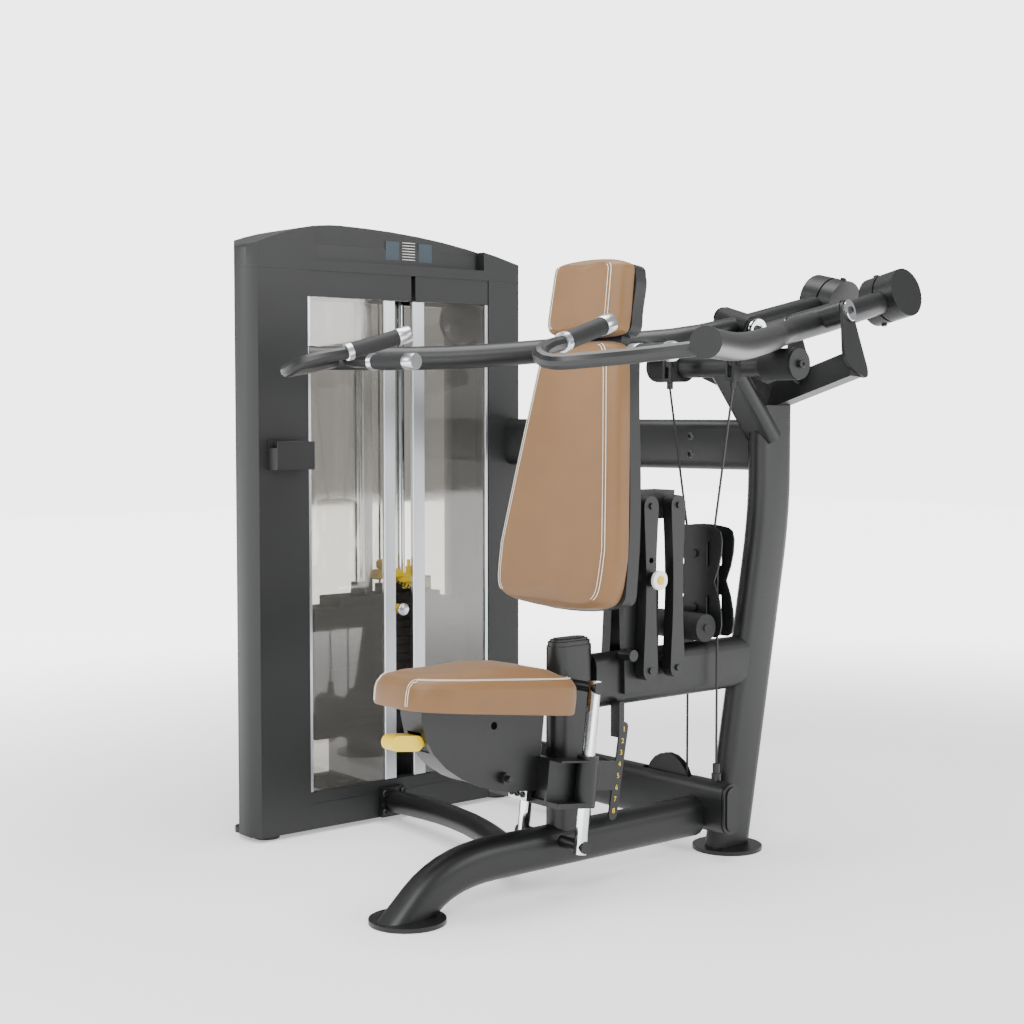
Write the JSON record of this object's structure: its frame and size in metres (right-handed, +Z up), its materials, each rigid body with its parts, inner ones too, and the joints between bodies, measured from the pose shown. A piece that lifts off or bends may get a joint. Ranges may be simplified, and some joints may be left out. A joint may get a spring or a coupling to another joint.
{
  "type": "shoulder press machine",
  "caption": "Weight-stack shoulder press machine with an adjustable seat, leaning back pad and two converging counterbalanced press arms.",
  "frame": {"origin": "on the floor at the centre of the rear foot plate", "axes": "+X towards the seated user's left, -Y the way the user faces, +Z up; X = 0 is the seat's middle plane"},
  "size_m": [1.7108, 1.6596, 1.593],
  "materials": {
    "frame_paint": "satin charcoal powder coat",
    "tower_shroud": "satin charcoal moulding",
    "black_plastic": "satin black",
    "black_rubber": "matt",
    "chrome": "polished",
    "stack_iron": "satin black",
    "yellow": "gloss yellow",
    "upholstery": "soft tan, lightly grained",
    "clear_shield": "clear, lightly tinted",
    "cable": "black nylon jacket",
    "white_plastic": "gloss white"
  },
  "bodies": {
    "frame": {"rear_foot_plate": "frame_paint", "rear_post": "frame_paint", "pivot_yoke": "frame_paint", "middle_beam": "frame_paint", "bridge_tube": "frame_paint", "seat_post": "frame_paint", "front_foot_tube": "frame_paint", "rear_cross_tube": "frame_paint", "tower_link_tube": "frame_paint", "arm_stop_bar": "frame_paint", "left_stop_sleeve": "black_rubber", "right_stop_sleeve": "black_rubber", "block_bumper": "black_rubber", "tower_front_column": "tower_shroud", "tower_rear_column": "tower_shroud", "tower_cap": "tower_shroud", "tower_base": "tower_shroud", "front_shield": "clear_shield", "access_shield": "clear_shield", "rear_shield": "clear_shield", "guide_rod_front": "chrome", "guide_rod_rear": "chrome", "left_seat_rod": "chrome", "right_seat_rod": "chrome", "left_pivot_shaft": "chrome", "right_pivot_shaft": "chrome", "weight_plates": "stack_iron", "stack_pedestal": "black_plastic", "stack_cable": "cable", "anchor_cable": "cable"},
    "left_arm": {"left_press_arm": "frame_paint", "left_counterweight": "frame_paint", "left_outer_grip": "black_rubber", "left_inner_grip": "black_rubber"},
    "left_cable": {"left_arm_cable": "cable"},
    "right_arm": {"right_press_arm": "frame_paint", "right_counterweight": "frame_paint", "right_outer_grip": "black_rubber", "right_inner_grip": "black_rubber"},
    "right_cable": {"right_arm_cable": "cable"},
    "pulley_block": {"floating_block": "frame_paint", "block_high_pulley": "black_plastic"},
    "low_pulley": {"block_low_pulley": "black_plastic"},
    "cross_pulley": {"cross_tube_pulley": "black_plastic"},
    "base_pulley": {"tower_base_pulley": "black_plastic"},
    "side_pulley": {"tower_side_pulley": "black_plastic"},
    "stack_pulley": {"tower_stack_pulley": "black_plastic"},
    "stack_lift": {"lifting_head": "stack_iron"},
    "stack_pin": {"selector_pin": "yellow"},
    "addon": {"addon_lever": "yellow"},
    "seat": {"seat_carriage": "frame_paint", "seat_pad": "upholstery"},
    "height_lever": {"seat_lever": "yellow"},
    "front_swing": {"front_link": "frame_paint"},
    "rear_swing": {"rear_link": "frame_paint"},
    "back_support": {"back_frame": "tower_shroud", "back_pad": "upholstery", "head_pad": "upholstery"},
    "range_plunger": {"range_pin": "white_plastic"}
  },
  "joints": [
    {"name": "left_arm_press", "type": "hinge", "parent": "frame", "child": "left_arm", "pos_m": [0.1353, 0.178, 1.3376], "axis": [-0.9454, -0.2399, -0.2208], "range_deg": [0, 35]},
    {"name": "right_arm_press", "type": "hinge", "parent": "frame", "child": "right_arm", "pos_m": [-0.1353, 0.178, 1.3376], "axis": [-0.9454, 0.2399, 0.2208], "range_deg": [0, 35]},
    {"name": "left_cable_swing", "type": "hinge", "parent": "left_arm", "child": "left_cable", "pos_m": [0.107, -0.106, 1.222], "axis": [0.9836, 0.145, 0.107], "range_deg": [-1, 37]},
    {"name": "right_cable_swing", "type": "hinge", "parent": "right_arm", "child": "right_cable", "pos_m": [-0.107, -0.106, 1.222], "axis": [0.9836, -0.145, -0.107], "range_deg": [-1, 37]},
    {"name": "pulley_block_lift", "type": "slide", "parent": "frame", "child": "pulley_block", "axis": [0, 0, 1], "range_m": [0, 0.165]},
    {"name": "stack_head_lift", "type": "slide", "parent": "frame", "child": "stack_lift", "axis": [0, 0, 1], "range_m": [0, 0.33]},
    {"name": "low_pulley_turn", "type": "hinge", "parent": "pulley_block", "child": "low_pulley", "pos_m": [0, -0.095, 0.624], "axis": [0, 1, 0], "range_deg": [0, 188]},
    {"name": "cross_pulley_turn", "type": "hinge", "parent": "frame", "child": "cross_pulley", "pos_m": [-0.112, -0.095, 0.163], "axis": [0, -1, 0], "range_deg": [0, 303]},
    {"name": "base_pulley_turn", "type": "hinge", "parent": "frame", "child": "base_pulley", "pos_m": [-0.856, -0.095, 0.145], "axis": [0, -1, 0], "range_deg": [0, 426]},
    {"name": "side_pulley_turn", "type": "hinge", "parent": "frame", "child": "side_pulley", "pos_m": [-0.9, -0.155, 1.361], "axis": [-1, 0, 0], "range_deg": [0, 313]},
    {"name": "stack_pulley_turn", "type": "hinge", "parent": "frame", "child": "stack_pulley", "pos_m": [-0.9, -0.376, 1.486], "axis": [-1, 0, 0], "range_deg": [0, 313]},
    {"name": "selector_pin_pull", "type": "slide", "parent": "stack_lift", "child": "stack_pin", "axis": [1, 0, 0], "range_m": [0, 0.056]},
    {"name": "addon_lever_turn", "type": "hinge", "parent": "stack_lift", "child": "addon", "pos_m": [-0.856, -0.3605, 0.6305], "axis": [1, 0, 0], "range_deg": [0, 18]},
    {"name": "seat_height", "type": "slide", "parent": "frame", "child": "seat", "axis": [0, 0.1156, 0.9933], "range_m": [-0.06, 0.086]},
    {"name": "seat_lever_lift", "type": "hinge", "parent": "seat", "child": "height_lever", "pos_m": [0, -0.9763, 0.3903], "axis": [-1, 0, 0], "range_deg": [0, 12], "stiffness_Nm_per_rad": 3, "springref_deg": -5.73},
    {"name": "front_link_swing", "type": "hinge", "parent": "frame", "child": "front_swing", "pos_m": [0, -0.346, 0.494], "axis": [1, 0, 0], "range_deg": [0, 8]},
    {"name": "rear_link_swing", "type": "hinge", "parent": "frame", "child": "rear_swing", "pos_m": [0, -0.256, 0.494], "axis": [1, 0, 0], "range_deg": [0, 8]},
    {"name": "back_pad_swing", "type": "hinge", "parent": "front_swing", "child": "back_support", "pos_m": [0, -0.346, 0.884], "axis": [-1, 0, 0], "range_deg": [0, 8]},
    {"name": "range_pin_pull", "type": "slide", "parent": "front_swing", "child": "range_plunger", "axis": [1, 0, 0], "range_m": [0, 0.016], "stiffness_N_per_m": 800, "springref_m": -0.01}
  ],
  "couplings": [
    {"joint": "right_arm_press", "follows": "left_arm_press", "ratio": 1},
    {"joint": "left_cable_swing", "follows": "left_arm_press", "ratio": 1.0313},
    {"joint": "right_cable_swing", "follows": "left_arm_press", "ratio": 1.0313},
    {"joint": "pulley_block_lift", "follows": "left_arm_press", "m_per_rad": 0.2672},
    {"joint": "stack_head_lift", "follows": "left_arm_press", "m_per_rad": 0.5344},
    {"joint": "low_pulley_turn", "follows": "left_arm_press", "ratio": 5.344},
    {"joint": "cross_pulley_turn", "follows": "left_arm_press", "ratio": 8.6194},
    {"joint": "base_pulley_turn", "follows": "left_arm_press", "ratio": 12.145},
    {"joint": "side_pulley_turn", "follows": "left_arm_press", "ratio": 8.9067},
    {"joint": "stack_pulley_turn", "follows": "left_arm_press", "ratio": 8.9067},
    {"joint": "rear_link_swing", "follows": "front_link_swing", "ratio": 1},
    {"joint": "back_pad_swing", "follows": "front_link_swing", "ratio": 1}
  ]
}
